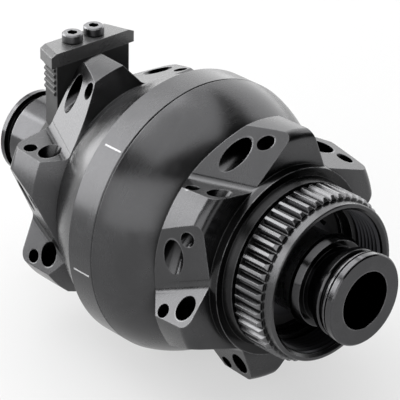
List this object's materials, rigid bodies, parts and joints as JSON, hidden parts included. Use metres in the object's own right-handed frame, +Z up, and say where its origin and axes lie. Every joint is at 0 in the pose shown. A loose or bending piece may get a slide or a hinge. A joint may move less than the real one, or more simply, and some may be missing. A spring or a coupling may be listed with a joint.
{
  "type": "hub dynamo",
  "caption": "Front wheel hub with a built-in generator: domed shell, notched straight-pull spoke flanges, splined brake rotor mount, thru-axle end caps and a screw-lid cable housing.",
  "frame": {"origin": "on the axle line, midway between the two end faces that stand in the fork", "axes": "+Y along the axle towards the brake rotor side, +Z up, the way the cable housing points, +X to the front of the pair"},
  "size_m": [0.0586, 0.1, 0.0588],
  "materials": {
    "bare_aluminium": "turned, bare",
    "black_anodised": "black anodised, satin",
    "polished_black": "black anodised, polished",
    "housing_black": "moulded, semi-gloss",
    "dark_steel": "black oxide",
    "soft_iron": "pressed and plated",
    "bearing_steel": "ground",
    "terminal_brass": "machined",
    "copper": "enamelled wire",
    "magnet_ferrite": "sintered",
    "bobbin_nylon": "moulded",
    "wire_sleeve": "extruded",
    "seal_rubber": "moulded"
  },
  "bodies": {
    "axle_unit": {"axle": "bare_aluminium", "disc_end_cap": "polished_black", "plug_end_cap": "polished_black", "disc_spacer": "bare_aluminium", "plug_spacer": "bare_aluminium", "disc_lock_nut": "dark_steel", "plug_lock_nut": "dark_steel", "stator_core": "soft_iron", "disc_claw_plate": "soft_iron", "plug_claw_plate": "soft_iron", "coil_bobbin": "bobbin_nylon", "coil_winding": "copper", "lead_wires": "wire_sleeve", "plug_housing": "housing_black", "plug_lid": "housing_black", "lid_screws": "dark_steel", "terminal_blocks": "terminal_brass", "disc_bearing_inner_race": "bearing_steel", "plug_bearing_inner_race": "bearing_steel"},
    "hub_shell": {"disc_side_shell": "black_anodised", "plug_side_shell": "black_anodised", "shell_gasket": "seal_rubber", "flux_ring": "soft_iron", "magnets": "magnet_ferrite", "disc_seal": "seal_rubber", "plug_seal": "seal_rubber", "disc_bearing_outer_race": "bearing_steel", "plug_bearing_outer_race": "bearing_steel", "disc_bearing_shields": "seal_rubber", "plug_bearing_shields": "seal_rubber"},
    "disc_ball_set": {"disc_bearing_balls": "bearing_steel", "disc_bearing_cage": "terminal_brass"},
    "plug_ball_set": {"plug_bearing_balls": "bearing_steel", "plug_bearing_cage": "terminal_brass"}
  },
  "joints": [
    {"name": "hub_spin", "type": "hinge", "parent": "axle_unit", "child": "hub_shell", "pos_m": [0, 0, 0], "axis": [0, 1, 0], "continuous": true},
    {"name": "disc_balls_orbit", "type": "hinge", "parent": "axle_unit", "child": "disc_ball_set", "pos_m": [0, 0.0245, 0], "axis": [0, 1, 0], "continuous": true},
    {"name": "plug_balls_orbit", "type": "hinge", "parent": "axle_unit", "child": "plug_ball_set", "pos_m": [0, -0.024, 0], "axis": [0, 1, 0], "continuous": true}
  ],
  "couplings": [
    {"joint": "disc_balls_orbit", "follows": "hub_spin", "ratio": 0.5651},
    {"joint": "plug_balls_orbit", "follows": "hub_spin", "ratio": 0.5651}
  ]
}
